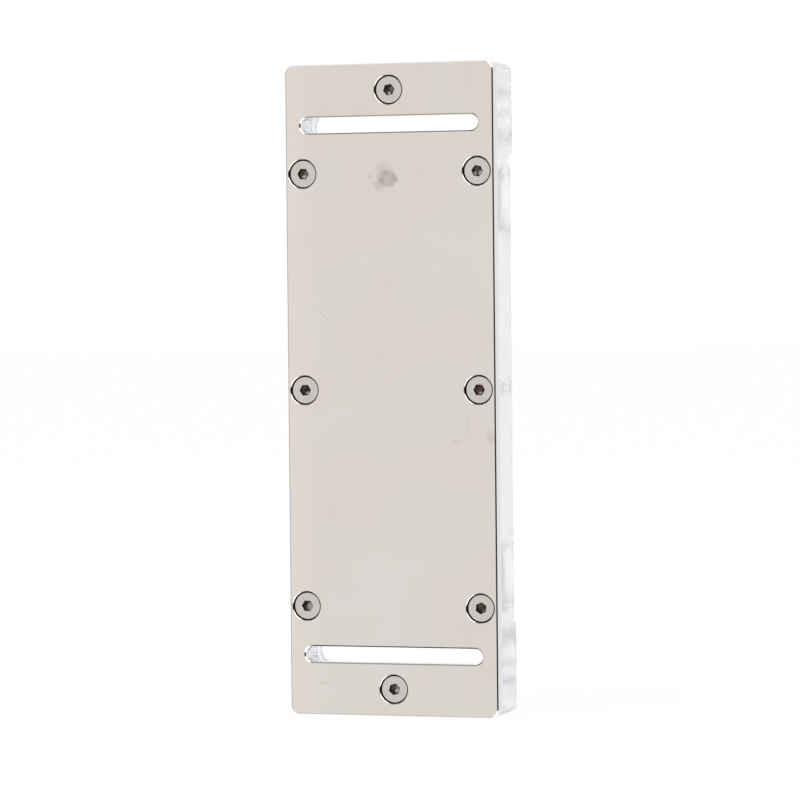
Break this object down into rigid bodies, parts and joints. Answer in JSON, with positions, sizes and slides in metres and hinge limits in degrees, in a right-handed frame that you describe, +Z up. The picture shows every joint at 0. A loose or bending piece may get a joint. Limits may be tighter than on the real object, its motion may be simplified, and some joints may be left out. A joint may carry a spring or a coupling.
{
  "type": "liquid cooling cold plate",
  "caption": "Slim liquid cooling block: a bright nickel-plated copper contact plate screwed to a clear acrylic body, with cross slots near both ends and two threaded ports on the back.",
  "frame": {"origin": "on the surface that the block stands on, under the middle of its width and depth", "axes": "+Z up along the length, -Y out of the contact face, +X to the right when looking at the contact face"},
  "size_m": [0.0444, 0.014, 0.133],
  "materials": {
    "nickel": "satin",
    "clear": "polished",
    "seal": "matte",
    "screws": "satin"
  },
  "bodies": {
    "root": {"contact_plate": "nickel", "clear_body": "clear", "chamber_seal": "seal", "screw_top": "screws", "screw_upper_left": "screws", "screw_upper_right": "screws", "screw_middle_left": "screws", "screw_middle_right": "screws", "screw_lower_left": "screws", "screw_lower_right": "screws", "screw_bottom": "screws"}
  },
  "joints": []
}
